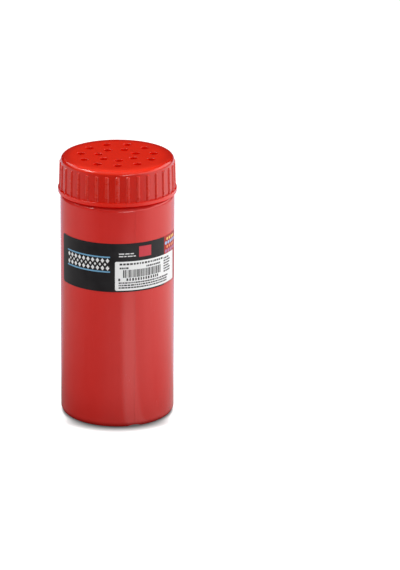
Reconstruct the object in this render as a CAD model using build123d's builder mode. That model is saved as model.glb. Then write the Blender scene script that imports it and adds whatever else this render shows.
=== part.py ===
from build123d import *

import os
from math import atan2, cos, radians, sin, tan

# A seasoning shaker: a blow-moulded bottle with a screwed-on, perforated cap.
# Millimetres, +Z up. The origin is the middle of the foot, on the surface that
# the bottle stands on. The front, where the label's bare end meets the sticker,
# faces -Y, and angles are measured from there, to the right as seen from the front.

# Bottle
body_diameter = 75.0
body_height = 152.4
wall = 1.5
shoulder_radius = 3.2
neck_root_radius = 0.8
rim_radius = 0.4
foot_radius = 4.5
foot_ring_width = 3.0
foot_ring_inner_radius = 2.5
push_up_height = 2.6
push_up_slope_width = 7.0
push_up_radius = 5.0
foot_notch_width = 11.0
foot_notch_height = 2.0

# Seam left by the two halves of the bottle's mould
seam_angle = 18.2
seam_width = 0.5
seam_height = 0.12
seam_label_gap = 0.3

# Cap, whose side leans inwards by its mould's draft. Its wall is measured at its foot.
cap_height = 23.6
cap_gap = 1.0
cap_overhang = 0.3
cap_draft_angle = 1.5
cap_wall = 2.2
cap_top_thickness = 1.8
cap_edge_radius = 3.0
lip_height = 2.5
lip_reach = 1.2
lip_top_radius = 1.0
lip_bottom_radius = 0.4
rib_count = 34
rib_width = 2.6
rib_height = 0.7
rib_flank_angle = 40.0
rib_root_sink = 0.4
rib_top_gap = 3.7
hole_diameter = 5.5
hole_edge_radius = 0.3
outer_hole_count = 11
outer_hole_circle = 48.0
outer_hole_angle = 0.5
inner_hole_count = 7
inner_hole_circle = 25.0
inner_hole_angle = 4.5
plug_clearance = 0.3
plug_thickness = 1.2
plug_depth = 3.5

# Right-hand screw thread: a ridge around the neck, and one inside the cap
thread_lead = 6.0
thread_height = 1.1
thread_root_width = 2.4
thread_crest_width = 1.2
thread_side_clearance = 0.4
thread_flank_clearance = 0.2
thread_root_sink = 0.4
thread_run_out_angle = 15.0
neck_thread_turns = 1.6
neck_thread_rim_gap = 2.6
neck_thread_angle = 90.0
cap_thread_turns = 1.4
cap_thread_lead_angle = 90.0

# Ring seal, which a bead holds in the cap
seal_thickness = 1.0
seal_clearance = 0.2
bead_reach = 0.5
bead_height = 0.8

# Label around the front, and the sticker over its right-hand end
glue_thickness = 0.02
label_height = 33.0
label_bottom = 95.1
label_left_angle = -69.0
label_right_angle = 80.0
label_thickness = 0.12
label_corner_radius = 1.8
sticker_height = 19.8
sticker_bottom = 96.1
sticker_left_angle = -2.4
sticker_right_angle = 73.0
sticker_thickness = 0.1
sticker_corner_radius = 1.0

# Sizes that follow from those above
body_radius = body_diameter / 2
foot_ring_inner = body_radius - foot_radius - foot_ring_width
push_up_flat = foot_ring_inner - push_up_slope_width
foot_notch_radius = (foot_notch_width**2 / 4 + foot_notch_height**2) / (2 * foot_notch_height)
label_radius = body_radius + glue_thickness
sticker_radius = label_radius + label_thickness + glue_thickness

cap_bottom = body_height + cap_gap
cap_top = cap_bottom + cap_height
cap_underside = cap_top - cap_top_thickness
cap_radius = body_radius + cap_overhang
cap_inner_radius = cap_radius - cap_wall
lip_radius = cap_radius + lip_reach
cap_side_slope = tan(radians(cap_draft_angle))
rib_root_round = rib_width / 2 + rib_root_sink * tan(radians(rib_flank_angle))
rib_foot_rise = lip_height / 2
rib_foot_circle = cap_radius - rib_foot_rise * cap_side_slope - rib_root_sink
rib_length = cap_height - rib_top_gap - rib_width / 2 - rib_foot_rise

rim_height = cap_underside - seal_thickness
neck_radius = cap_inner_radius - thread_side_clearance - thread_height
mouth_radius = neck_radius - wall
plug_radius = mouth_radius - plug_clearance

# The cap's ridge lies under the neck's ridge, flank beside flank
flank_slope = (thread_root_width - thread_crest_width) / (2 * thread_height)
ridge_spacing = thread_root_width - flank_slope * (cap_inner_radius - neck_radius)
neck_thread_bottom = rim_height - neck_thread_rim_gap - thread_lead * neck_thread_turns
cap_thread_drop = ridge_spacing + thread_flank_clearance + thread_lead * cap_thread_lead_angle / 360
cap_thread_bottom = neck_thread_bottom - cap_thread_drop
cap_thread_angle = neck_thread_angle - cap_thread_lead_angle

os.makedirs("parts", exist_ok=True)


def upright_plane(angle):
    """The plane through the Z axis with its X axis pointing out at this angle and its Y axis up."""
    turn = radians(angle - 90)
    return Plane(origin=(0, 0, 0), x_dir=(cos(turn), sin(turn), 0), z_dir=(sin(turn), -cos(turn), 0))


def facing_plane(angle):
    """The plane through the Z axis that faces out at this angle, with its Y axis up."""
    turn = radians(angle - 90)
    return Plane(origin=(0, 0, 0), x_dir=(-sin(turn), cos(turn), 0), z_dir=(cos(turn), sin(turn), 0))


def bottle_section(inset, top):
    """Half of the bottle's section, moved in from the outside by inset and closed at the height top."""
    slope = atan2(push_up_height, push_up_slope_width)
    slope_shift = inset * tan(slope / 2)
    corners = [
        (0, push_up_height + inset),
        (push_up_flat + slope_shift, push_up_height + inset),
        (foot_ring_inner + slope_shift, inset),
        (body_radius - inset, inset),
        (body_radius - inset, body_height - inset),
        (neck_radius - inset, body_height - inset),
        (neck_radius - inset, top),
    ]
    radii = [
        push_up_radius + inset,
        foot_ring_inner_radius - inset,
        foot_radius - inset,
        shoulder_radius - inset,
        neck_root_radius + inset,
    ]
    with BuildSketch(Plane.XZ) as section:
        with BuildLine():
            FilletPolyline(*corners, radius=radii)
            Polyline(corners[-1], (0, top), corners[0])
        make_face()
    return section.sketch


def thread_section(angle, height, root_radius, crest_radius):
    """A thread ridge's section at this angle, with its foot sunk into the wall that carries it."""
    outward = 1 if crest_radius > root_radius else -1
    foot_radius = root_radius - outward * thread_root_sink
    half_foot = thread_root_width / 2 + flank_slope * thread_root_sink
    half_crest = thread_crest_width / 2
    with BuildSketch(upright_plane(angle)) as section:
        with BuildLine():
            Polyline(
                (foot_radius, height - half_foot),
                (crest_radius, height - half_crest),
                (crest_radius, height + half_crest),
                (foot_radius, height + half_foot),
                close=True,
            )
        make_face()
    return section.sketch


def thread_ridge(bottom, turns, root_radius, crest_radius):
    """A right-hand ridge that starts on the right (+X) and sinks into its wall at both ends."""
    start = 90
    end = start + 360 * turns
    top = bottom + thread_lead * turns
    step = thread_lead * thread_run_out_angle / 360
    sink = root_radius - crest_radius
    sunk = (root_radius + sink, root_radius)
    proud = (root_radius, crest_radius)
    first = thread_section(start, bottom, *proud)
    last = thread_section(end, top, *proud)
    before_first = thread_section(start - thread_run_out_angle, bottom - step, *sunk)
    after_last = thread_section(end + thread_run_out_angle, top + step, *sunk)
    with BuildPart() as ridge:
        helix = Helix(pitch=thread_lead, height=top - bottom, radius=root_radius, center=(0, 0, bottom))
        sweep(sections=first, path=helix, is_frenet=True)
        loft(sections=[before_first, first], ruled=True)
        loft(sections=[last, after_last], ruled=True)
    return ridge.part


def wrapped_sheet(radius, thickness, bottom, height, left_angle, right_angle, corner_radius):
    """A thin sheet with rounded corners, lying around the bottle."""
    with BuildPart() as sheet:
        with BuildSketch(upright_plane(left_angle)):
            with Locations((radius, bottom)):
                Rectangle(thickness, height, align=(Align.MIN, Align.MIN))
        revolve(axis=Axis.Z, revolution_arc=right_angle - left_angle)
        fillet(sheet.edges().sort_by(SortBy.LENGTH)[:4], radius=corner_radius)
    return sheet


# Bottle body, first its hollow, its seam and its thread
with BuildPart() as hollow:
    add(bottle_section(wall, cap_top))
    revolve(axis=Axis.Z)
    with BuildSketch(facing_plane(seam_angle)):
        with Locations((0, foot_notch_height - foot_notch_radius)):
            Circle(foot_notch_radius + wall)
    extrude(amount=body_radius, both=True, mode=Mode.SUBTRACT)

with BuildPart() as seam:
    add(bottle_section(-seam_height, rim_height - rim_radius))
    revolve(axis=Axis.Z)
    with BuildSketch(Plane.XY):
        with Locations(Rotation(0, 0, seam_angle)):
            Rectangle(seam_width, 2 * lip_radius)
    extrude(amount=cap_top, mode=Mode.INTERSECT)
    with BuildSketch(Plane.XY.offset(label_bottom - seam_label_gap)):
        Rectangle(2 * lip_radius, lip_radius, align=(Align.CENTER, Align.MAX))
    extrude(amount=label_height + 2 * seam_label_gap, mode=Mode.SUBTRACT)
    add(hollow.part, mode=Mode.SUBTRACT)

neck_ridge = thread_ridge(neck_thread_bottom, neck_thread_turns, neck_radius, neck_radius + thread_height)

with BuildPart() as bottle_body:
    add(bottle_section(0, rim_height))
    revolve(axis=Axis.Z)
    add(hollow.part, mode=Mode.SUBTRACT)
    fillet(bottle_body.edges().group_by(Axis.Z)[-1], radius=rim_radius)
    add(neck_ridge, rotation=(0, 0, neck_thread_angle - 90))
    add(seam.part)
    with BuildSketch(facing_plane(seam_angle)):
        with Locations((0, foot_notch_height - foot_notch_radius)):
            Circle(foot_notch_radius)
    extrude(amount=lip_radius, both=True, mode=Mode.SUBTRACT)

bottle_body.part.label = "bottle_body"
export_step(bottle_body.part, "parts/bottle_body.step")

# Cap, first its thread and one of its ribs
cap_ridge = thread_ridge(
    cap_thread_bottom, cap_thread_turns, cap_inner_radius, cap_inner_radius - thread_height
)

rib_root = Plane(
    origin=(0, -rib_foot_circle, cap_bottom + rib_foot_rise), x_dir=(1, 0, 0), z_dir=(0, -1, cap_side_slope)
)
with BuildPart() as rib:
    with BuildSketch(rib_root):
        Rectangle(2 * rib_root_round, rib_length, align=(Align.CENTER, Align.MIN))
        with Locations((0, rib_length)):
            Circle(rib_root_round)
    extrude(amount=rib_root_sink + rib_height, taper=rib_flank_angle)

with BuildPart() as shaker_cap:
    with Locations((0, 0, cap_bottom)):
        Cone(
            bottom_radius=cap_radius,
            top_radius=cap_radius - cap_height * cap_side_slope,
            height=cap_height,
            align=(Align.CENTER, Align.CENTER, Align.MIN),
        )
    fillet(shaker_cap.edges().group_by(Axis.Z)[-1], radius=cap_edge_radius)
    with PolarLocations(0, rib_count):
        add(rib.part)
    with BuildSketch(Plane.XZ) as lip_section:
        with Locations((cap_inner_radius, cap_bottom)):
            Rectangle(lip_radius - cap_inner_radius, lip_height, align=(Align.MIN, Align.MIN))
        outer_corners = lip_section.vertices().group_by(Axis.X)[-1].sort_by(Axis.Z)
        fillet(outer_corners[0], radius=lip_bottom_radius)
        fillet(outer_corners[-1], radius=lip_top_radius)
    revolve(axis=Axis.Z)
    with BuildSketch(Plane.XY.offset(cap_bottom)):
        Circle(cap_inner_radius)
    extrude(amount=cap_underside - cap_bottom, mode=Mode.SUBTRACT)
    with BuildSketch(Plane.XY.offset(cap_top)):
        with PolarLocations(outer_hole_circle / 2, outer_hole_count, start_angle=outer_hole_angle - 90):
            Circle(hole_diameter / 2)
        with PolarLocations(inner_hole_circle / 2, inner_hole_count, start_angle=inner_hole_angle - 90):
            Circle(hole_diameter / 2)
    extrude(amount=-cap_top_thickness, mode=Mode.SUBTRACT)
    rims = shaker_cap.edges().group_by(Axis.Z)[-1].filter_by(GeomType.CIRCLE)
    fillet(rims.filter_by(lambda edge: edge.radius < hole_diameter), radius=hole_edge_radius)
    with BuildSketch(Plane.XY.offset(cap_underside)):
        Circle(plug_radius)
        Circle(plug_radius - plug_thickness, mode=Mode.SUBTRACT)
    extrude(amount=-plug_depth)
    with BuildSketch(Plane.XZ):
        with Locations((cap_inner_radius, rim_height - seal_clearance)):
            Rectangle(bead_reach, bead_height, align=(Align.MAX, Align.MAX))
    revolve(axis=Axis.Z)
    add(cap_ridge, rotation=(0, 0, cap_thread_angle - 90))

shaker_cap.part.label = "shaker_cap"
export_step(shaker_cap.part, "parts/shaker_cap.step")

# Ring seal between the rim of the neck and the underside of the cap
with BuildPart() as seal_ring:
    with BuildSketch(Plane.XY.offset(rim_height)):
        Circle(cap_inner_radius - seal_clearance)
        Circle(plug_radius + seal_clearance, mode=Mode.SUBTRACT)
    extrude(amount=seal_thickness)

seal_ring.part.label = "seal_ring"
export_step(seal_ring.part, "parts/seal_ring.step")

# Label and sticker
wrap_label = wrapped_sheet(
    label_radius,
    label_thickness,
    label_bottom,
    label_height,
    label_left_angle,
    label_right_angle,
    label_corner_radius,
)
wrap_label.part.label = "wrap_label"
export_step(wrap_label.part, "parts/wrap_label.step")

white_sticker = wrapped_sheet(
    sticker_radius,
    sticker_thickness,
    sticker_bottom,
    sticker_height,
    sticker_left_angle,
    sticker_right_angle,
    sticker_corner_radius,
)
white_sticker.part.label = "white_sticker"
export_step(white_sticker.part, "parts/white_sticker.step")
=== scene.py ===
"""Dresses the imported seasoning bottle: moulded plastic, printed label, sticker and a plain studio."""

from math import cos, degrees, pi, radians, sin, tan

import bmesh
import bpy
from bpy.props import FloatProperty, FloatVectorProperty, IntProperty, PointerProperty
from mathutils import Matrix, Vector


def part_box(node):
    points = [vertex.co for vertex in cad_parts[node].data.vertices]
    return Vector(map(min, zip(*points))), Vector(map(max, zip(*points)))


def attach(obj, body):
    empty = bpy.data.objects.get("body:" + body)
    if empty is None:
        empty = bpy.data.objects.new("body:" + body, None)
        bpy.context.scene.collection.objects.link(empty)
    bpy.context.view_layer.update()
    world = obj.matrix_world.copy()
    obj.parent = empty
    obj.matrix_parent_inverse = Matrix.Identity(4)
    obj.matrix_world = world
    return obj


bl_info = {
    "name": "Seasoning Bottle",
    "version": (1, 0, 0),
    "blender": (4, 5, 0),
    "location": "3D View > Sidebar > Seasoning",
    "description": "Dresses a seasoning bottle with moulded plastic, a printed label and a sticker",
    "category": "Object",
}

MM = 0.001

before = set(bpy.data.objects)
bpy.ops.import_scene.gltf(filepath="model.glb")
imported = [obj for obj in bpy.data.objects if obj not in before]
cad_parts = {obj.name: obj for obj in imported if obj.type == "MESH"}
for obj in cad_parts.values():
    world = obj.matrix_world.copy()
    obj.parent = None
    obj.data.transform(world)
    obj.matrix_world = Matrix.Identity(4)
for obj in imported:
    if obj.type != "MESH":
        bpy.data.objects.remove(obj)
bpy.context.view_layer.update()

# Places on the bottle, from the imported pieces
bottle_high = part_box("bottle_body")[1]
cap_low, cap_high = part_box("shaker_cap")
label_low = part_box("wrap_label")[0]
sticker_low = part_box("white_sticker")[0]
body_radius = bottle_high.x
cap_foot = cap_low.z
cap_top = cap_high.z
label_radius = -label_low.y
sticker_radius = -sticker_low.y

# The cap's side, rounded edge and grip ribs. The slope is how far the side leans in for each metre of height.
cap_side_radius = body_radius + 0.3 * MM
cap_side_slope = tan(radians(1.5))
cap_edge_radius = 3.0 * MM
rib_count = 34
rib_height = 0.7 * MM
rib_furrow_width = 1.5 * MM
rib_furrow_depth = 0.144 * MM

# Bands of the bottle's plastic, as pairs of heights between which wear, painted shade or painted red glow
# comes or goes
scuffed_foot = (0.2 * MM, 1.6 * MM)
painted_foot_shade_heights = (0.0, 26.0 * MM)
painted_gap_start = (cap_foot - 1.9 * MM, cap_foot - 1.3 * MM)
painted_gap_end = (cap_foot + 0.3 * MM, cap_foot + 1.5 * MM)

# Bands of the cap's plastic, where painted light, painted shade or wear comes or goes, in the same way, by
# height, by radius, from front to back, or by how far a rib stands out from the side
top_heights = (cap_top - 0.5 * MM, cap_top - 0.05 * MM)
rim_radii = (body_radius - 9.0 * MM, body_radius - 2.5 * MM)
rim_heights = (cap_top - cap_edge_radius, cap_top - 1.6 * MM)
front_rim_end = (-30.0 * MM, -12.0 * MM)
back_rim_start = (-28.0 * MM, 5.0 * MM)
crest_relief = (0.15 * rib_height, 0.5 * rib_height)
crest_heights = (cap_foot + 4.5 * MM, cap_foot + 6.0 * MM)
furrow_start = (cap_foot + 2.8 * MM, cap_foot + 3.6 * MM)
furrow_end = (cap_top - 5.2 * MM, cap_top - 4.2 * MM)
lip_radii = (cap_side_radius + 0.3 * MM, cap_side_radius + 0.7 * MM)
lip_heights = (cap_foot + 1.9 * MM, cap_foot + 2.5 * MM)
lip_underside = (cap_foot, cap_foot + 0.45 * MM)
hole_heights = (cap_top - 0.45 * MM, cap_top - 0.1 * MM)
hole_depths = (cap_top - 1.7 * MM, cap_top - 1.1 * MM)
holed_radii = (body_radius - 4.5 * MM, body_radius - 3.5 * MM)

# Painted light: what the cap's red is multiplied by, in red, green and blue, on its top, the front of its
# rim, its rib crests as highlights, and its lip
PAINTED_TOP_LIGHT_TINT = (1.07, 1.45, 1.0)
PAINTED_FRONT_RIM_LIGHT_TINT = (1.25, 2.6, 10.0)
PAINTED_CREST_HIGHLIGHT_TINT = (1.05, 1.6, 1.5)
PAINTED_LIP_LIGHT_TINT = (1.22, 1.8, 8.33)

# Painted light and shade: reds that stand in for the glow of light that comes only through the plastic, in
# narrow gaps, and high and low in the walls of holes
PAINTED_GLOW_RED = (0.95, 0.008, 0.003)
PAINTED_HOLE_GLOW_RED = (0.88, 0.008, 0.001)
PAINTED_HOLE_SHADE_RED = (0.82, 0.001, 0.0002)

BLACK = (0.0, 0.0, 0.0)
WHITE = (1.0, 1.0, 1.0)

# Noise goes from 0 to 1. A patch of wear or ink begins at the first value and is whole at the second.
SCRATCHED_PATCHES = (0.52, 0.68)
SCUFFED_PATCHES = (0.45, 0.65)
RUBBED_PATCHES = (0.40, 0.75)
STAINED_PATCHES = (0.45, 0.8)
PRESSED_PATCHES = (0.35, 0.7)

# Scale of the patterns that are drawn out along the height
FLOW_STRETCH = (1.0, 1.0, 0.04)
SCRATCH_STRETCH = (1.0, 1.0, 0.06)
FIBRE_STRETCH = (1.0, 1.0, 0.4)

# How much darker the plastic gets in its mottled places, in the painted shade at the bottle's foot and at the
# back of the cap's rim, and how much paler where it is worn
MOTTLE_DEPTH = 0.06
FOOT_SHADE_DEPTH = 0.24
BACK_RIM_SHADE_DEPTH = 0.22
WORN_PALENESS = 0.2

# How much the finishes bend light, which sets how strongly they mirror
PLASTIC_IOR = 1.49
FILM_IOR = 1.3

# Bubbles of the seal's foam along one metre
FOAM_CELLS = 2600.0

INK_THICKNESS = 0.06 * MM

# Most marks in a row of the sticker, and how far the gaps between marks differ, as shares of the written gap
MOST_MARKS = 32
LEAST_GAP = 0.75
GREATEST_GAP = 1.25

# Dots of the label's picture, from the lowest row up
PICTURE_COLOURS = ((0.42, 0.10, 0.30), (0.85, 0.22, 0.02), (0.30, 0.52, 0.85), (0.90, 0.62, 0.06))

# Rows of marks on the sticker: angle of the left end in degrees, then in millimetres the height of the
# block's foot and its width, how many rows, their pitch, and a mark's height, least and greatest length
# and gap
STICKER_ROWS = {
    "sticker_heading": (2.2, 113.2, 33.0, 1, 1.8, 1.25, 0.7, 1.9, 0.6),
    "sticker_left_words": (2.2, 110.6, 7.5, 1, 1.6, 1.15, 0.8, 2.2, 0.35),
    "sticker_right_words": (30.0, 110.8, 13.0, 1, 1.6, 1.15, 0.6, 1.6, 0.35),
    "sticker_side_block": (0.9, 102.6, 1.2, 1, 1.9, 1.8, 1.1, 1.2, 0.3),
    "sticker_middle_row": (9.0, 102.6, 25.0, 1, 1.9, 1.8, 0.9, 1.3, 0.75),
    "sticker_small_rows": (1.2, 97.2, 39.0, 3, 1.65, 0.95, 0.5, 2.2, 0.35),
    "sticker_side_rows": (53.0, 103.6, 8.0, 6, 1.8, 1.0, 0.6, 2.4, 0.4),
}

# The photo's frame, in its pixels
PHOTO_WIDTH = 400
PHOTO_HEIGHT = 570
BOTTLE_COLUMN = 117.4
LEVEL_ROW = 283.6
FOCAL_PIXELS = 3870

# Lamps, which don't show in the gloss: angle from the front and height angle in degrees, distance, width
# and height in metres, and the share of its written colour that a surface facing the lamp gets from it.
# Here and below, angles count from the front to the right.
LAMPS = {
    "front_window": (0, 66, 1.2, 1.6, 1.3, 0.69),
    "left_window": (-84, 34, 1.1, 0.5, 0.4, 0.13),
    "right_window": (94, 27, 1.2, 0.7, 0.6, 0.36),
}

# Bright cards, which show only as highlights in the gloss: angles, distance and sizes as for the lamps, and
# how bright they look
CARDS = {
    "top_card": (0, 66, 1.2, 1.6, 1.3, 1.1),
    "left_card": (-75, 46, 1.1, 0.50, 0.16, 21.0),
    "far_left_card": (-120, 39, 1.1, 0.95, 0.24, 2.2),
    "front_card": (21, 6, 1.2, 0.45, 0.16, 7.0),
    "low_card": (62, 14, 1.2, 0.95, 0.55, 1.5),
    "right_card": (112, 26, 1.2, 1.10, 0.55, 2.1),
}

# The plastic's wall mirrors the floor around it, so the floor carries the room that the gloss shows. This is
# how bright that room is, by the angle from the front in degrees.
ROOM_LIGHT = {
    -180: 1.30,
    -165: 1.20,
    -150: 0.80,
    -137: 0.72,
    -122: 0.62,
    -110: 0.64,
    -90: 0.60,
    -71: 0.50,
    -53: 0.26,
    -35: 0.06,
    0: 0.02,
    19: 0.03,
    38: 0.16,
    51: 0.50,
    57: 0.95,
    69: 1.42,
    90: 1.45,
    109: 1.38,
    124: 1.30,
    145: 1.10,
    165: 0.85,
    180: 1.10,
}

# What a screen in front of the bottle adds to the room, and a window nearer to the bottle, by the same angle
SCREEN_LIGHT = {-90: 0.0, -60: 0.15, -15: 0.15, 9: 0.34, 25: 0.70, 38: 0.82, 51: 0.68, 69: 0.0}
WINDOW_LIGHT = {-60: 0.0, -40: 0.18, -15: 0.48, 8: 0.66, 12: 1.95, 34: 1.95, 37: 1.05, 52: 0.80, 70: 0.0}

# Distances from the bottle's axis between which each of them comes or goes, in metres
window_start = (body_radius, 0.15)
window_end = (0.25, 0.45)
screen_start = (0.25, 0.45)
screen_end = (0.46, 0.53)
far_room = (0.45, 0.58)
FAR_ROOM_GAIN = 1.25
WINDOW_START_SHARE = 0.6

# How much darker the room is close to the bottle, where its shade is painted in, what it gains there behind
# the bottle, and its tint there
ROOM_SHADE = 0.55
BEHIND_GAIN = 0.6
BEHIND_TINT = (0.80, 0.86, 1.0)
BEHIND_ANGLES = (125, 145)

# Next to the wall's foot the mirrored room fades to black in painted shade, between these distances from the
# axis
dark_line = (body_radius - 2.5 * MM, body_radius + 7.5 * MM)

# The contact shadow is painted into the floor's colour and glow. It starts a little under the wall. Beside
# and behind the bottle it is narrower and paler.
beside_bottle = (-0.85 * body_radius, -0.15 * body_radius)
SHADOW_UNDERCUT = 2.5 * MM
SIDE_NARROWING = 5.0
SIDE_FADE = 8.0 * MM

# How dark the floor gets: in painted shade near the bottle in the light that it gives back, and in the
# painted contact shadow as the camera sees it, first in the part of its white that takes the lamps' light,
# which also gets their real shadows, and then in the clean part
SHADE_DEPTH = 0.48
LIT_SHADOW_DEPTH = 0.70
CLEAN_SHADOW_DEPTH = 0.86
CLEAN_SHARE = 0.72


class Wire:
    """A node's output. Arithmetic on it adds Math nodes to its tree."""

    def __init__(self, graph, socket):
        self.graph = graph
        self.socket = socket

    def output(self, key):
        """Another output of the same node."""
        return Wire(self.graph, pick(self.socket.node.outputs, key))

    def maths(self, operation, other=0.0):
        """This value, and another where the operation takes one, through a Math node."""
        return self.graph.maths(operation, self, other)

    def __add__(self, other):
        return self.maths("ADD", other)

    __radd__ = __add__

    def __sub__(self, other):
        return self.maths("SUBTRACT", other)

    def __rsub__(self, other):
        return self.graph.maths("SUBTRACT", other, self)

    def __mul__(self, other):
        return self.maths("MULTIPLY", other)

    __rmul__ = __mul__

    def __truediv__(self, other):
        return self.maths("DIVIDE", other)

    def __pow__(self, other):
        return self.maths("POWER", other)

    def __abs__(self):
        return self.maths("ABSOLUTE")

    def __lt__(self, other):
        return self.maths("LESS_THAN", other)


def pick(sockets, key):
    """A socket by its place, its identifier or its name."""
    if isinstance(key, int):
        return sockets[key]
    for socket in sockets:
        if socket.identifier == key:
            return socket
    return sockets[key]


def opaque(colour):
    """A colour with its alpha, or a link as it is."""
    return colour if isinstance(colour, Wire) else (*colour, 1.0)


def darker(colour, share):
    return tuple(part * (1 - share) for part in colour)


def paler(colour, share):
    return tuple(part + (1 - part) * share for part in colour)


def tinted(colour, tint):
    return tuple(part * gain for part, gain in zip(colour, tint))


def dimmed(mask, depth):
    """Goes from 1 - depth to 1 as the mask goes from 0 to 1."""
    return mask * depth + (1.0 - depth)


class Graph:
    """A node tree that is being made."""

    def __init__(self, tree):
        self.tree = tree

    def node(self, kind, settings=None, sockets=None, output=0):
        """Adds a node, its settings first, then the values or links of its sockets."""
        made = self.tree.nodes.new(kind)
        for name, value in (settings or {}).items():
            if name == "stops":
                set_stops(made.color_ramp.elements, value)
            else:
                setattr(made, name, value)
        for key, value in (sockets or {}).items():
            socket = pick(made.inputs, key)
            if isinstance(value, Wire):
                self.tree.links.new(value.socket, socket)
            else:
                socket.default_value = value
        return Wire(self, pick(made.outputs, output)) if len(made.outputs) else None

    def maths(self, operation, first, second):
        return self.node("ShaderNodeMath", {"operation": operation}, {0: first, 1: second})

    def mix(self, factor, first, second):
        """Blends two colours."""
        return self.node(
            "ShaderNodeMix",
            {"data_type": "RGBA"},
            {"Factor_Float": factor, "A_Color": opaque(first), "B_Color": opaque(second)},
            "Result_Color",
        )

    def ease(self, value, low, high, to_low, to_high):
        """Goes smoothly from to_low to to_high as the value goes from low to high."""
        return self.node(
            "ShaderNodeMapRange",
            {"interpolation_type": "SMOOTHSTEP"},
            {"Value": value, "From Min": low, "From Max": high, "To Min": to_low, "To Max": to_high},
        )

    def rise(self, value, low, high):
        """0 up to the low value, and 1 from the high one."""
        return self.ease(value, low, high, 0.0, 1.0)

    def fall(self, value, low, high):
        """1 up to the low value, and 0 from the high one."""
        return self.ease(value, low, high, 1.0, 0.0)


def set_stops(elements, stops):
    """Gives a colour ramp its stops, each a place and a colour."""
    while len(elements) < len(stops):
        elements.new(1.0)
    for element, (place, colour) in zip(elements, stops):
        element.position = place
        element.color = opaque(colour)


def seen_by_camera(path):
    """1 for the camera's rays, which are Light Path's first output, and for rays through clear pieces."""
    return path.maths("MAXIMUM", path.output("Is Transmission Ray"))


class Surface(Graph):
    """A material that is being made, with the places that its patterns read."""

    def __init__(self, name):
        self.material = bpy.data.materials.new(name)
        self.material.use_nodes = True
        super().__init__(self.material.node_tree)
        self.tree.nodes.clear()
        self.place = self.node("ShaderNodeTexCoord", output="Object")
        self.east = self.node("ShaderNodeSeparateXYZ", sockets={"Vector": self.place})
        self.north = self.east.output("Y")
        self.height = self.east.output("Z")

    def radius(self):
        """Distance from the bottle's axis, in metres."""
        return (self.east * self.east + self.north * self.north) ** 0.5

    def angle(self):
        """Angle around the bottle from the front, in degrees, positive to the right."""
        return self.east.maths("ARCTAN2", 0.0 - self.north) * degrees(1)

    def noise(self, size, detail=2.0, roughness=0.5, stretch=None, turn=(0.0, 0.0, 0.0)):
        """Noise from 0 to 1, in features of about this size in metres. A stretch below 1 lengthens them."""
        place = self.place
        if stretch:
            sockets = {"Vector": place, "Rotation": turn, "Scale": stretch}
            place = self.node("ShaderNodeMapping", {"vector_type": "POINT"}, sockets)
        sockets = {"Vector": place, "Scale": 1 / size, "Detail": detail, "Roughness": roughness}
        return self.node("ShaderNodeTexNoise", {"noise_dimensions": "3D"}, sockets)

    def scratches(self, spacing, width, turn):
        """Long thin lines, 1 on a line and 0 beside it. Their width is a share of the noise's range."""
        wave = self.noise(spacing, detail=1.0, stretch=SCRATCH_STRETCH, turn=turn)
        worn = self.noise(spacing * 6, detail=1.0)
        return self.fall(abs(wave - 0.5), 0.0, width) * self.rise(worn, *SCRATCHED_PATCHES)

    def finish(self, colour, roughness, bumps, depth, **values):
        """Ends the material with one shader. Depth is how deep its bumps are, in metres."""
        normal = self.node("ShaderNodeBump", sockets={"Height": bumps, "Distance": depth, "Strength": 1.0})
        sockets = {"Base Color": colour, "Roughness": roughness, "Normal": normal, **values}
        shader = self.node("ShaderNodeBsdfPrincipled", sockets=sockets)
        self.node("ShaderNodeOutputMaterial", sockets={"Surface": shader})
        return self.material


def bottle_plastic(colour, gloss):
    """Blow-moulded polypropylene: fine orange peel, faint upright flow lines and a scuffed foot."""
    surface = Surface("bottle_plastic")
    mottle = surface.noise(18.0 * MM, detail=3.0)
    flow = surface.noise(2.2 * MM, stretch=FLOW_STRETCH)
    peel = surface.noise(1.1 * MM)
    swell = surface.noise(14.0 * MM, detail=1.0)
    lines = surface.scratches(5.0 * MM, 0.005, (0.35, 0.1, 0.0))
    lines = lines + surface.scratches(4.0 * MM, 0.004, (1.4, 0.5, 0.2))
    scuff = surface.rise(surface.noise(1.2 * MM, detail=4.0, roughness=0.7), *SCUFFED_PATCHES)
    scuff = scuff * surface.fall(surface.height, *scuffed_foot)
    painted_foot_shade = surface.fall(surface.height, *painted_foot_shade_heights)
    gap = surface.rise(surface.height, *painted_gap_start) * surface.fall(surface.height, *painted_gap_end)

    tone = surface.mix(mottle * 0.6 + flow * 0.3, darker(colour, MOTTLE_DEPTH), paler(colour, 0.01))
    tone = surface.mix(lines * 0.03 + scuff * 0.15, tone, paler(colour, WORN_PALENESS))
    # Painted shade, darker towards the foot
    tone = surface.mix(painted_foot_shade * 0.6, tone, darker(colour, FOOT_SHADE_DEPTH))
    # Painted red glow of light through the plastic in the gap under the cap
    tone = surface.mix(gap, tone, PAINTED_GLOW_RED)
    rough = 1 - gloss + (mottle - 0.5) * 0.08 + lines * 0.08 + scuff * 0.25
    bumps = swell * 0.45 + flow * 0.05 + peel * 0.035 - lines * 0.015
    return surface.finish(tone, rough, bumps, depth=0.10 * MM, IOR=PLASTIC_IOR)


def rib_furrows(surface):
    """A furrow along both flanks of each grip rib, which rounds it into the cap's side."""
    turn = surface.angle() * (rib_count / 360)
    beside_rib = abs(turn - turn.maths("ROUND")) * (2 * pi * cap_side_radius / rib_count)
    across = beside_rib.maths("MINIMUM", rib_furrow_width)
    furrow = (across * (pi / rib_furrow_width)).maths("SINE") ** 2.0
    furrow = furrow * surface.rise(surface.height, *furrow_start)
    return furrow * surface.fall(surface.height, *furrow_end)


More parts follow.
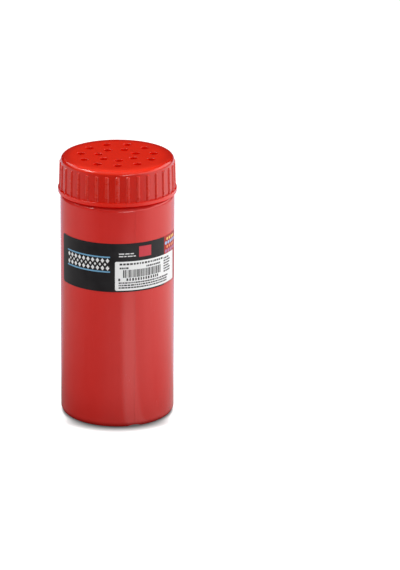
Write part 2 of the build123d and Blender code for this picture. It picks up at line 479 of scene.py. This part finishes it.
def cap_plastic(colour, gloss):
    """Injection-moulded polypropylene: polished sides, a finely blasted top and rubbed rib crests."""
    surface = Surface("cap_plastic")
    height = surface.height
    radius = surface.radius()
    mottle = surface.noise(10.0 * MM, detail=3.0)
    grain = surface.noise(0.35 * MM)
    peel = surface.noise(1.2 * MM)
    lines = surface.scratches(4.0 * MM, 0.004, (1.5, 0.1, 0.3))
    lines = lines + surface.scratches(5.0 * MM, 0.004, (1.6, 0.3, 1.4))
    top = surface.rise(height, *top_heights)
    rim = surface.rise(radius, *rim_radii) * surface.rise(height, *rim_heights)
    painted_front_rim_light = rim * surface.fall(surface.north, *front_rim_end)
    painted_back_rim_shade = rim * surface.rise(surface.north, *back_rim_start)
    side = cap_side_radius - (height - cap_foot) * cap_side_slope
    crest = surface.rise(radius - side, *crest_relief) * surface.rise(height, *crest_heights)
    rubbed = crest * surface.rise(surface.noise(3.0 * MM, detail=3.0, roughness=0.7), *RUBBED_PATCHES)
    painted_lip_light = surface.rise(radius, *lip_radii) * surface.fall(height, *lip_heights)
    painted_underside_glow = surface.fall(height, *lip_underside)
    hole = surface.fall(height, *hole_heights) * surface.fall(radius, *holed_radii)
    painted_hole_red = surface.mix(surface.rise(height, *hole_depths), PAINTED_HOLE_SHADE_RED, PAINTED_HOLE_GLOW_RED)

    tone = surface.mix(mottle * 0.7, darker(colour, MOTTLE_DEPTH), colour)
    # Painted light: the top is lighter, as it faces the lamps
    tone = surface.mix(top, tone, tinted(colour, PAINTED_TOP_LIGHT_TINT))
    # Painted light along the front of the rim
    tone = surface.mix(painted_front_rim_light, tone, tinted(colour, PAINTED_FRONT_RIM_LIGHT_TINT))
    # Painted shade at the back of the rim
    tone = surface.mix(painted_back_rim_shade, tone, darker(colour, BACK_RIM_SHADE_DEPTH))
    # Painted highlights along the rib crests
    tone = surface.mix(crest, tone, tinted(colour, PAINTED_CREST_HIGHLIGHT_TINT))
    # Painted light on the lip
    tone = surface.mix(painted_lip_light, tone, tinted(colour, PAINTED_LIP_LIGHT_TINT))
    # Painted red glow of light through the plastic under the lip, where it is in shade
    tone = surface.mix(painted_underside_glow, tone, PAINTED_GLOW_RED)
    # Painted glow and shade in the walls of the holes, brighter high up and deeper low down
    tone = surface.mix(hole, tone, painted_hole_red)
    tone = surface.mix(rubbed * 0.05 + lines * 0.03, tone, paler(colour, WORN_PALENESS))
    rough = 1 - gloss + top * 0.16 + rubbed * 0.08 + lines * 0.08 + (mottle - 0.5) * 0.05
    rough = rough + crest * 0.07 - hole * 0.12
    depth = 0.06 * MM
    bumps = peel * 0.06 + grain * top * 0.12 - lines * 0.03
    bumps = bumps - rib_furrows(surface) * (rib_furrow_depth / depth)
    return surface.finish(tone, rough, bumps, depth=depth, IOR=PLASTIC_IOR)


def seal_foam(colour):
    """Closed-cell foam, its small bubbles cut through."""
    surface = Surface("seal_foam")
    sockets = {"Vector": surface.place, "Scale": FOAM_CELLS}
    cells = surface.node("ShaderNodeTexVoronoi", {"feature": "F1"}, sockets)
    stain = surface.rise(surface.noise(6.0 * MM, detail=3.0), *STAINED_PATCHES)
    tone = surface.mix(stain * 0.5, colour, darker(colour, 0.18))
    return surface.finish(tone, 0.72 + cells * 0.2, cells, depth=0.12 * MM)


def label_film(black, ground, gloss, ground_start):
    """Self-adhesive film, printed black up to the picture's ground at its right-hand end."""
    surface = Surface("label_film")
    weave = surface.noise(0.4 * MM)
    handled = surface.noise(9.0 * MM, detail=3.0)
    creases = surface.scratches(6.0 * MM, 0.006, (1.2, 0.3, 0.1))
    edge = degrees(ground_start)
    edge_blur = 0.05
    on_ground = surface.rise(surface.angle(), edge - edge_blur, edge + edge_blur)
    dark = surface.mix(handled * 0.6 + creases * 0.2, black, paler(black, 0.03))
    red = surface.mix(handled * 0.6, darker(ground, 0.08), ground)
    tone = surface.mix(on_ground, dark, red)
    rough = 1 - gloss + (handled - 0.5) * 0.16 + creases * 0.12
    return surface.finish(tone, rough, weave * 0.3 + handled * 0.7, depth=0.05 * MM, IOR=FILM_IOR)


def sticker_paper(colour):
    """Coated white paper, with fibres under the coating."""
    surface = Surface("sticker_paper")
    fibres = surface.noise(0.5 * MM, detail=4.0, roughness=0.7, stretch=FIBRE_STRETCH)
    handled = surface.noise(8.0 * MM, detail=3.0)
    tone = surface.mix(handled * 0.7 + fibres * 0.3, colour, darker(colour, 0.05))
    rough = 0.5 + (fibres - 0.5) * 0.2
    return surface.finish(tone, rough, fibres * 0.7 + handled * 0.6, depth=0.04 * MM)


def plate_pressure(surface):
    """How hard the printing plate pressed, from 0 to 1."""
    return surface.noise(0.9 * MM, detail=3.0, roughness=0.6)


def printing_ink(name, colour, roughness=0.42):
    """Printing ink, a little uneven where the plate pressed less."""
    surface = Surface(name)
    pressed = plate_pressure(surface)
    tone = surface.mix(surface.rise(pressed, *PRESSED_PATCHES), darker(colour, 0.10), colour)
    return surface.finish(tone, roughness + (pressed - 0.5) * 0.15, pressed, depth=0.01 * MM)


def picture_ink(colours, bottom, top):
    """Inks of several colours, which change with the height in equal bands."""
    surface = Surface("picture_ink")
    pressed = plate_pressure(surface)
    share = (surface.height - bottom) / (top - bottom)
    stops = [(band / len(colours), colour) for band, colour in enumerate(colours)]
    ramp = surface.node("ShaderNodeValToRGB", {"stops": stops}, {"Fac": share})
    ramp.socket.node.color_ramp.interpolation = "CONSTANT"
    tone = surface.mix(pressed * 0.15, ramp, (0.9, 0.9, 0.9))
    return surface.finish(tone, 0.4 + (pressed - 0.5) * 0.15, pressed, depth=0.01 * MM)


def dress(node_name, material):
    """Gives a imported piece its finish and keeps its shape."""
    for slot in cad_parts[node_name].material_slots:
        slot.material = material


def power_to_light(distance, level):
    """Watts of a lamp that lights a surface facing it from here to this share of its written colour."""
    return 4 * pi * distance**2 * level


def power_to_show(width, tall, brightness):
    """Watts of a lamp whose face looks this bright."""
    return 4 * width * tall * brightness


def floor_paint(studio):
    """A pale floor: white with a shadow to the camera, plain to other light, and the room to the gloss."""
    surface = Surface("floor")
    # The floor glows only for the camera and the gloss, so it isn't sampled as a lamp
    surface.material.cycles.emission_sampling = "NONE"
    path = surface.node("ShaderNodeLightPath")
    radius = surface.radius()
    shade = surface.rise(radius, body_radius, studio.shade_reach)
    sheet = floor_sheet(surface, studio, seen_by_camera(path), radius, shade)
    room = mirrored_room(surface, radius, shade)
    both = surface.node("ShaderNodeMixShader", sockets={0: path.output("Is Glossy Ray"), 1: sheet, 2: room})
    surface.node("ShaderNodeOutputMaterial", sockets={"Surface": both})
    return surface.material


def floor_sheet(surface, studio, seen, radius, shade):
    """The floor's own white and grey, with the bottle's contact shadow, partly painted, in what the camera
    sees.
    """
    beside = surface.rise(surface.north, *beside_bottle)
    spread = (radius - body_radius) * (beside**2.0 * (SIDE_NARROWING - 1.0) + 1.0) + beside * SIDE_FADE
    # Painted contact shadow, by the distance from the wall, widest in front of the bottle
    contact = surface.rise(spread, -SHADOW_UNDERCUT, studio.contact_reach)
    plain = surface.mix(shade, darker(tuple(studio.floor), SHADE_DEPTH), tuple(studio.floor))
    white = surface.mix(dimmed(contact, LIT_SHADOW_DEPTH), BLACK, (studio.floor_gain,) * 3)
    lit = surface.node("ShaderNodeBsdfDiffuse", sockets={"Color": surface.mix(seen, plain, white)})
    clean = surface.node("ShaderNodeEmission", sockets={"Strength": dimmed(contact, CLEAN_SHADOW_DEPTH)})
    return surface.node("ShaderNodeMixShader", sockets={0: seen * CLEAN_SHARE, 1: lit, 2: clean})


def mirrored_room(surface, radius, shade):
    """The room that the plastic mirrors, by the angle around the bottle and the distance from it."""
    angle = surface.angle()
    around = angle / 360 + 0.5
    behind = surface.rise(abs(angle), *BEHIND_ANGLES)
    near = dimmed(shade, ROOM_SHADE) + behind * (1.0 - shade) * BEHIND_GAIN
    room = light_around(surface, around, ROOM_LIGHT) * near
    room = room * surface.ease(radius, *far_room, 1.0, FAR_ROOM_GAIN)
    screen = light_around(surface, around, SCREEN_LIGHT) * surface.fall(radius, *screen_end)
    screen = screen * surface.rise(radius, *screen_start)
    window = light_around(surface, around, WINDOW_LIGHT) * surface.fall(radius, *window_end)
    window = window * surface.ease(radius, *window_start, WINDOW_START_SHARE, 1.0)
    light = (room + screen + window) * surface.rise(radius, *dark_line)
    tint = surface.mix(behind, WHITE, BEHIND_TINT)
    return surface.node("ShaderNodeEmission", sockets={"Color": tint, "Strength": light})


def light_around(surface, around, light):
    """A brightness that goes with the angle around the bottle, here from 0 to 1, and comes from a table."""
    most = max(light.values())
    stops = [(angle / 360 + 0.5, (bright / most,) * 3) for angle, bright in light.items()]
    return surface.node("ShaderNodeValToRGB", {"stops": stops}, {"Fac": around}) * most


def wrapped(graph, flat, inputs):
    """Lays flat geometry, X along and Y up, around the bottle."""
    along = graph.node("ShaderNodeSeparateXYZ", sockets={"Vector": graph.node("GeometryNodeInputPosition")})
    angle = inputs["Left"] + along / inputs["Radius"]
    radius = inputs["Radius"] + along.output("Z")
    around = graph.node("ShaderNodeCombineXYZ", sockets={
        "X": radius * angle.maths("SINE"),
        "Y": 0.0 - radius * angle.maths("COSINE"),
        "Z": inputs["Foot"] + along.output("Y"),
    })
    return graph.node("GeometryNodeSetPosition", sockets={"Geometry": flat, "Position": around})


def stamped(graph, inputs, count, middle, chosen, mark, size):
    """Puts a mark at the middle of each chosen point of so many, and lays all of them around the bottle."""
    line = graph.node("GeometryNodeMeshLine", sockets={"Count": count})
    points = graph.node("GeometryNodeSetPosition", sockets={"Geometry": line, "Position": middle})
    marks = graph.node("GeometryNodeInstanceOnPoints", sockets={
        "Points": points, "Selection": chosen, "Instance": mark, "Scale": size})
    flat = graph.node("GeometryNodeRealizeInstances", sockets={"Geometry": marks})
    return wrapped(graph, flat, inputs)


def random_between(graph, low, high, seed):
    """A random number for each point."""
    sockets = {"Min_001": low, "Max_001": high, "Seed": seed}
    return graph.node("FunctionNodeRandomValue", {"data_type": "FLOAT"}, sockets, "Value_001")


def rows_of_marks(graph, inputs):
    """Rows of printed marks, each of a random length, as far as the block is wide."""
    row = (graph.node("GeometryNodeInputIndex") / inputs["Marks"]).maths("FLOOR")
    length = random_between(graph, inputs["Shortest"], inputs["Longest"], inputs["Seed"])
    gap = inputs["Gap"] * random_between(graph, LEAST_GAP, GREATEST_GAP, inputs["Seed"] + 1)
    run = graph.node(
        "GeometryNodeAccumulateField",
        {"data_type": "FLOAT"},
        {"Value": length + gap, "Group ID": row},
        "Leading",
    )
    middle = graph.node("ShaderNodeCombineXYZ", sockets={
        "X": run - gap - length * 0.5,
        "Y": (row + 0.5) * inputs["Row Pitch"],
    })
    rounding = 0.01 * MM
    fits = run - gap < inputs["Width"] + rounding
    mark = graph.node("GeometryNodeMeshCube", sockets={
        "Vertices X": inputs["Bends"], "Size": (1.0, 1.0, 1.0), "Vertices Y": 2, "Vertices Z": 2})
    size = graph.node("ShaderNodeCombineXYZ", sockets={
        "X": length, "Y": inputs["Mark Height"], "Z": inputs["Thickness"]})
    return stamped(graph, inputs, inputs["Rows"] * inputs["Marks"], middle, fits, mark, size)


def lattice_of_marks(graph, inputs):
    """A lattice of round or cornered marks. Every second row is shifted by half a step and smaller."""
    index = graph.node("GeometryNodeInputIndex")
    row = (index / inputs["Columns"]).maths("FLOOR")
    column = index - row * inputs["Columns"]
    odd = row.maths("FLOORED_MODULO", 2.0)
    middle = graph.node("ShaderNodeCombineXYZ", sockets={
        "X": (column + 0.5 + odd * 0.5) * inputs["Column Pitch"],
        "Y": (row + 0.5) * inputs["Row Pitch"],
    })
    inside = column + odd < inputs["Columns"]
    mark = graph.node(
        "GeometryNodeMeshCylinder",
        {"fill_type": "TRIANGLE_FAN"},
        {"Vertices": inputs["Corners"], "Fill Segments": 3, "Radius": 0.5, "Depth": 1.0},
        "Mesh",
    )
    share = 1.0 - odd * inputs["Shrink"]
    size = graph.node("ShaderNodeCombineXYZ", sockets={
        "X": inputs["Mark Width"] * share,
        "Y": inputs["Mark Height"] * share,
        "Z": inputs["Thickness"],
    })
    return stamped(graph, inputs, inputs["Rows"] * inputs["Columns"], middle, inside, mark, size)


def unbroken_rows(rows, width, tall, pitch, bends):
    """Sizes for rows_of_marks, where each row is one mark of the whole width."""
    return {
        "Rows": rows,
        "Marks": 1,
        "Shortest": width,
        "Longest": width,
        "Gap": 0.0,
        "Width": width,
        "Row Pitch": pitch,
        "Mark Height": tall,
        "Bends": bends,
        "Seed": 0,
    }


def pattern_tree(name, pattern, material, sizes):
    """The node tree of a printed pattern, and the identifier of its input for each size."""
    tree = bpy.data.node_groups.new(name, "GeometryNodeTree")
    kinds = {int: "NodeSocketInt", float: "NodeSocketFloat"}
    inputs = {
        label: tree.interface.new_socket(label, in_out="INPUT", socket_type=kinds[type(value)]).identifier
        for label, value in sizes.items()
    }
    tree.interface.new_socket("Geometry", in_out="OUTPUT", socket_type="NodeSocketGeometry")
    graph = Graph(tree)
    group = graph.node("NodeGroupInput")
    marks = pattern(graph, {label: group.output(label) for label in sizes})
    whole = graph.node("GeometryNodeRealizeInstances", sockets={"Geometry": marks})
    inked = graph.node("GeometryNodeSetMaterial", sockets={"Geometry": whole, "Material": material})
    graph.node("NodeGroupOutput", sockets={"Geometry": inked})
    return tree, inputs


def printed(name, pattern, material, sheet_radius, left, foot, sizes):
    """Prints a pattern on a sheet, its lower left corner at this angle and height, as one plain mesh."""
    sizes = {"Radius": sheet_radius, "Left": left, "Foot": foot, "Thickness": INK_THICKNESS, **sizes}
    tree, inputs = pattern_tree(name, pattern, material, sizes)
    piece = bpy.data.objects.new(name, bpy.data.meshes.new(name))
    bpy.context.scene.collection.objects.link(piece)
    modifier = piece.modifiers.new(name, "NODES")
    modifier.node_group = tree
    for label, identifier in inputs.items():
        modifier[identifier] = sizes[label]
    drawn = piece.evaluated_get(bpy.context.evaluated_depsgraph_get())
    mesh = bpy.data.meshes.new_from_object(drawn)
    piece.modifiers.clear()
    piece.data = mesh
    if not mesh.polygons:
        raise RuntimeError(f"{name} came out empty")
    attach(piece, "bottle")


def print_on_label(name, pattern, material, left, foot, sizes):
    printed(name, pattern, material, label_radius, left, foot, sizes)


def print_on_sticker(name, material, left, foot, sizes):
    printed(name, rows_of_marks, material, sticker_radius, left, foot, sizes)


def length_setting(name, description, default):
    return FloatProperty(name=name, description=description, default=default, min=0.0, unit="LENGTH")


def angle_setting(name, description, default):
    return FloatProperty(name=name, description=description, default=radians(default), subtype="ANGLE")


def share_setting(name, description, default, top=1.0):
    return FloatProperty(name=name, description=description, default=default, min=0.0, max=top)


def colour_setting(name, description, default):
    return FloatVectorProperty(
        name=name, description=description, default=default, size=3, min=0.0, max=1.0, subtype="COLOR"
    )


class PlasticSettings(bpy.types.PropertyGroup):
    """Colours and gloss of the moulded pieces."""

    bottle: colour_setting("Bottle", "Colour of the bottle's plastic", (0.665, 0.0155, 0.0095))
    bottle_gloss: share_setting("Bottle Gloss", "How smooth the bottle's wall is", 0.80)
    cap: colour_setting("Cap", "Colour of the cap's plastic", (0.605, 0.0088, 0.0006))
    cap_gloss: share_setting("Cap Gloss", "How smooth the cap's sides are", 0.80)
    seal: colour_setting("Seal", "Colour of the ring seal's foam", (0.80, 0.80, 0.76))


class LabelSettings(bpy.types.PropertyGroup):
    """The black label and what is printed on it."""

    black: colour_setting("Black", "Colour of the label's printed ground", (0.0063, 0.0046, 0.0059))
    ground: colour_setting("Picture Ground", "Ground at the label's right-hand end", (0.43, 0.018, 0.012))
    ground_start: angle_setting("Ground Start", "Where the picture's ground begins", 54.0)
    gloss: share_setting("Gloss", "How smooth the film is", 0.60)
    white: colour_setting("White Ink", "Colour of the white print", (0.86, 0.86, 0.86))
    blue: colour_setting("Blue Ink", "Colour of the pale blue rules", (0.16, 0.40, 0.62))
    red: colour_setting("Red Ink", "Colour of the red tab", (0.62, 0.03, 0.05))
    band_left: angle_setting("Band Left", "Left end of the diamond band", -59.0)
    band_bottom: length_setting("Band Height", "Height of the diamond band over the foot", 110.0 * MM)
    band_step: length_setting("Band Step", "From one diamond to the next", 3.4 * MM)
    band_columns: IntProperty(name="Diamonds", description="Diamonds in a row", default=10, min=1)
    rows_left: angle_setting("Rows Left", "Left end of the white rows", 1.5)
    rows_bottom: length_setting("Rows Height", "Height of the white rows over the foot", 118.6 * MM)
    tab_left: angle_setting("Tab Left", "Left edge of the red tab", 22.0)
    tab_bottom: length_setting("Tab Height", "Height of the red tab over the foot", 118.4 * MM)
    picture_left: angle_setting("Picture Left", "Left end of the picture's dots", 55.0)
    picture_bottom: length_setting("Picture Height", "Height of the picture over the foot", 116.2 * MM)


class StickerSettings(bpy.types.PropertyGroup):
    """The white sticker and what is printed on it."""

    paper: colour_setting("Paper", "Colour of the sticker's paper", (0.94, 0.94, 0.94))
    ink: colour_setting("Ink", "Colour of the print", (0.035, 0.033, 0.036))
    bars_left: angle_setting("Bars Left", "Left end of the field of bars", 5.6)
    bars_width: length_setting("Bars Width", "Width of the field of bars", 28.5 * MM)
    bars_bottom: length_setting("Bars Bottom", "Height of the bars' lower ends over the foot", 104.9 * MM)
    bars_height: length_setting("Bars Height", "Height of the bars", 5.3 * MM)


class StudioSettings(bpy.types.PropertyGroup):
    """Floor, lamps and camera."""

    floor_radius: length_setting("Floor Radius", "Radius of the round floor", 6.0)
    floor: colour_setting("Floor", "Colour of the floor in the light that it gives back", (0.60, 0.60, 0.60))
    floor_gain: share_setting("Floor Gain", "How pale the camera sees the part that takes light", 2.2, 9.0)
    contact_reach: length_setting("Contact Reach", "How far the contact shadow goes from the wall", 12.0 * MM)
    shade_reach: length_setting("Shade Reach", "How far from its axis the bottle dims the floor", 0.30)
    fill: share_setting("Fill", "Light from all round", 0.44, 4.0)
    dim: share_setting("Dim Walls", "How bright the studio above the floor looks in the plastic", 0.005, 4.0)
    camera_distance: length_setting("Camera Distance", "From the bottle's axis, along the floor", 2.418)
    camera_height: length_setting("Camera Height", "Height of the camera over the floor", 0.916)
    camera_pitch: angle_setting("Camera Pitch", "How far down the camera looks", 18.9)
    sensor: length_setting("Sensor", "Long side of the camera's sensor", 0.036)


class SEASONING_OT_finish_bottle(bpy.types.Operator):
    """Gives the bottle its blow-moulded plastic"""

    bl_idname = "seasoning.finish_bottle"
    bl_label = "Finish Bottle"

    def execute(self, context):
        plastic = context.scene.seasoning_plastic
        dress("bottle_body", bottle_plastic(tuple(plastic.bottle), plastic.bottle_gloss))
        return {"FINISHED"}


class SEASONING_OT_finish_cap(bpy.types.Operator):
    """Gives the shaker cap its injection-moulded plastic"""

    bl_idname = "seasoning.finish_cap"
    bl_label = "Finish Cap"

    def execute(self, context):
        plastic = context.scene.seasoning_plastic
        dress("shaker_cap", cap_plastic(tuple(plastic.cap), plastic.cap_gloss))
        return {"FINISHED"}


class SEASONING_OT_finish_seal(bpy.types.Operator):
    """Gives the ring seal its foam"""

    bl_idname = "seasoning.finish_seal"
    bl_label = "Finish Seal"

    def execute(self, context):
        dress("seal_ring", seal_foam(tuple(context.scene.seasoning_plastic.seal)))
        return {"FINISHED"}


class SEASONING_OT_print_label(bpy.types.Operator):
    """Finishes the label's film and prints its band, rules, tab and picture"""

    bl_idname = "seasoning.print_label"
    bl_label = "Print Label"

    def execute(self, context):
        label = context.scene.seasoning_label
        film = label_film(tuple(label.black), tuple(label.ground), label.gloss, label.ground_start)
        dress("wrap_label", film)
        white = printing_ink("white_ink", tuple(label.white))
        self.print_band(label, white)
        self.print_tab(label)
        self.print_rows(label, white)
        self.print_picture(label)
        return {"FINISHED"}

    def print_band(self, label, white):
        """A band of diamonds between two pale blue rules."""
        step = label.band_step
        rows = 3
        row_pitch = step * 0.75
        diamonds = {
            "Rows": rows,
            "Columns": label.band_columns,
            "Column Pitch": step,
            "Row Pitch": row_pitch,
            "Mark Width": step * 0.72,
            "Mark Height": step,
            "Shrink": 0.35,
            "Corners": 4,
        }
        left, bottom = label.band_left, label.band_bottom
        print_on_label("label_diamonds", lattice_of_marks, white, left, bottom, diamonds)

        rule_gap = 1.2 * MM
        rule_height = 0.9 * MM
        rule_pitch = row_pitch * rows + 2 * rule_gap
        rules = unbroken_rows(2, step * label.band_columns, rule_height, rule_pitch, bends=48)
        blue = printing_ink("blue_ink", tuple(label.blue))
        rules_foot = bottom - rule_gap - rule_pitch / 2
        print_on_label("label_rules", rows_of_marks, blue, left, rules_foot, rules)

    def print_tab(self, label):
        """A plain red tab."""
        width = 9.0 * MM
        tall = 7.2 * MM
        tab = unbroken_rows(1, width, tall, tall, bends=16)
        red = printing_ink("red_ink", tuple(label.red))
        print_on_label("label_tab", rows_of_marks, red, label.tab_left, label.tab_bottom, tab)

    def print_rows(self, label, white):
        """Short white rows beside the tab."""
        rows = {
            "Rows": 2,
            "Marks": 8,
            "Shortest": 1.2 * MM,
            "Longest": 3.6 * MM,
            "Gap": 0.6 * MM,
            "Width": 12.0 * MM,
            "Row Pitch": 1.7 * MM,
            "Mark Height": 0.7 * MM,
            "Bends": 6,
            "Seed": 4,
        }
        print_on_label("label_rows", rows_of_marks, white, label.rows_left, label.rows_bottom, rows)

    def print_picture(self, label):
        """Rows of dots, each row in its own colour, in place of a picture."""
        bottom = label.picture_bottom
        row_pitch = 2.75 * MM
        dot = 2.3 * MM
        dots = {
            "Rows": len(PICTURE_COLOURS),
            "Columns": 5,
            "Column Pitch": 3.1 * MM,
            "Row Pitch": row_pitch,
            "Mark Width": dot,
            "Mark Height": dot,
            "Shrink": 0.15,
            "Corners": 24,
        }
        inks = picture_ink(PICTURE_COLOURS, bottom, bottom + len(PICTURE_COLOURS) * row_pitch)
        print_on_label("label_dots", lattice_of_marks, inks, label.picture_left, bottom, dots)


class SEASONING_OT_print_sticker(bpy.types.Operator):
    """Finishes the sticker's paper and prints its bars and rows"""

    bl_idname = "seasoning.print_sticker"
    bl_label = "Print Sticker"

    def execute(self, context):
        sticker = context.scene.seasoning_sticker
        dress("white_sticker", sticker_paper(tuple(sticker.paper)))
        black = printing_ink("black_ink", tuple(sticker.ink), roughness=0.5)
        bars = {
            "Rows": 1,
            "Marks": 44,
            "Shortest": 0.28 * MM,
            "Longest": 1.05 * MM,
            "Gap": 0.46 * MM,
            "Width": sticker.bars_width,
            "Row Pitch": sticker.bars_height,
            "Mark Height": sticker.bars_height,
            "Bends": 2,
            "Seed": 7,
        }
        print_on_sticker("sticker_bars", black, sticker.bars_left, sticker.bars_bottom, bars)
        for seed, (name, (left, foot, *sizes)) in enumerate(STICKER_ROWS.items()):
            print_on_sticker(name, black, radians(left), foot * MM, self.block_sizes(seed, *sizes))
        return {"FINISHED"}

    def block_sizes(self, seed, width, rows, pitch, tall, shortest, longest, gap):
        """Sizes of one block of rows, from its millimetres."""
        return {
            "Rows": rows,
            "Marks": MOST_MARKS,
            "Shortest": shortest * MM,
            "Longest": longest * MM,
            "Gap": gap * MM,
            "Width": width * MM,
            "Row Pitch": pitch * MM,
            "Mark Height": tall * MM,
            "Bends": 6,
            "Seed": seed,
        }


class SEASONING_OT_set_studio(bpy.types.Operator):
    """Lays the floor, hangs the lamps and sets up the camera"""

    bl_idname = "seasoning.set_studio"
    bl_label = "Set Studio"

    def execute(self, context):
        studio = context.scene.seasoning_studio
        context.scene.view_settings.view_transform = "Standard"
        self.lay_floor(context, studio)
        self.light_walls(context, studio)
        for name, (azimuth, elevation, distance, width, tall, level) in LAMPS.items():
            power = power_to_light(distance, level)
            lamp = self.hang_lamp(context, name, azimuth, elevation, distance, width, tall, power)
            lamp.visible_glossy = False
        for name, (azimuth, elevation, distance, width, tall, brightness) in CARDS.items():
            power = power_to_show(width, tall, brightness)
            card = self.hang_lamp(context, name, azimuth, elevation, distance, width, tall, power)
            card.visible_diffuse = False
        self.set_camera(context, studio)
        return {"FINISHED"}

    def lay_floor(self, context, studio):
        """A round pale floor, which the camera sees as white except in the bottle's shadow."""
        form = bmesh.new()
        bmesh.ops.create_circle(form, cap_ends=True, segments=96, radius=studio.floor_radius)
        mesh = bpy.data.meshes.new("floor")
        form.to_mesh(mesh)
        form.free()
        mesh.materials.append(floor_paint(studio))
        floor = bpy.data.objects.new("floor", mesh)
        context.scene.collection.objects.link(floor)

    def light_walls(self, context, studio):
        """White to the camera, dim to the plastic's gloss, and a soft fill to everything else."""
        world = bpy.data.worlds.new("studio")
        world.use_nodes = True
        # Rays find the walls by themselves, so that each kind of ray gets its own brightness
        world.cycles.sampling_method = "NONE"
        graph = Graph(world.node_tree)
        graph.tree.nodes.clear()
        path = graph.node("ShaderNodeLightPath")
        bright = studio.fill + (studio.dim - studio.fill) * path.output("Is Glossy Ray")
        strength = bright + (1.0 - bright) * seen_by_camera(path)
        light = graph.node("ShaderNodeBackground", sockets={"Color": opaque(WHITE), "Strength": strength})
        graph.node("ShaderNodeOutputWorld", sockets={"Surface": light})
        context.scene.world = world

    def hang_lamp(self, context, name, azimuth, elevation, distance, width, tall, power):
        """A soft lamp of this power in watts, which faces the bottle and which the camera doesn't see."""
        data = bpy.data.lights.new(name, "AREA")
        data.shape = "RECTANGLE"
        data.size = width
        data.size_y = tall
        data.energy = power
        turn, rise = radians(azimuth), radians(elevation)
        outward = Vector((sin(turn) * cos(rise), -cos(turn) * cos(rise), sin(rise)))
        lamp = bpy.data.objects.new(name, data)
        lamp.location = outward * distance + Vector((0, 0, cap_top / 2))
        lamp.rotation_euler = outward.to_track_quat("Z", "Y").to_euler()
        lamp.visible_camera = False
        context.scene.collection.objects.link(lamp)
        return lamp

    def set_camera(self, context, studio):
        """The photo's view of the bottle, which stands left of the frame's middle."""
        data = bpy.data.cameras.new("camera")
        data.sensor_width = studio.sensor / MM
        data.lens = FOCAL_PIXELS / PHOTO_HEIGHT * data.sensor_width
        data.shift_x = (PHOTO_WIDTH / 2 - BOTTLE_COLUMN) / PHOTO_HEIGHT
        data.shift_y = (LEVEL_ROW - PHOTO_HEIGHT / 2) / PHOTO_HEIGHT
        camera = bpy.data.objects.new("camera", data)
        camera.location = (0.0, -studio.camera_distance, studio.camera_height)
        camera.rotation_euler = (pi / 2 - studio.camera_pitch, 0.0, 0.0)
        context.scene.collection.objects.link(camera)
        context.scene.camera = camera


OPERATORS = (
    SEASONING_OT_finish_bottle,
    SEASONING_OT_finish_cap,
    SEASONING_OT_finish_seal,
    SEASONING_OT_print_label,
    SEASONING_OT_print_sticker,
    SEASONING_OT_set_studio,
)

SETTINGS = {
    "seasoning_plastic": PlasticSettings,
    "seasoning_label": LabelSettings,
    "seasoning_sticker": StickerSettings,
    "seasoning_studio": StudioSettings,
}


class SEASONING_PT_bottle(bpy.types.Panel):
    """Lists the steps that dress the bottle, and their sizes and colours"""

    bl_idname = "SEASONING_PT_bottle"
    bl_label = "Seasoning Bottle"
    bl_space_type = "VIEW_3D"
    bl_region_type = "UI"
    bl_category = "Seasoning"

    def draw(self, context):
        for operator in OPERATORS:
            self.layout.operator(operator.bl_idname)
        for name, group in SETTINGS.items():
            box = self.layout.box()
            for setting in group.__annotations__:
                box.prop(getattr(context.scene, name), setting)


CLASSES = (*SETTINGS.values(), *OPERATORS, SEASONING_PT_bottle)


def register():
    for kind in CLASSES:
        bpy.utils.register_class(kind)
    for name, group in SETTINGS.items():
        setattr(bpy.types.Scene, name, PointerProperty(type=group))


def unregister():
    for name in SETTINGS:
        delattr(bpy.types.Scene, name)
    for kind in reversed(CLASSES):
        bpy.utils.unregister_class(kind)


def main():
    """Dresses the bottle and lays out the studio."""
    register()
    for operator in OPERATORS:
        group, name = operator.bl_idname.split(".")
        getattr(getattr(bpy.ops, group), name)()


if __name__ == "__main__":
    main()
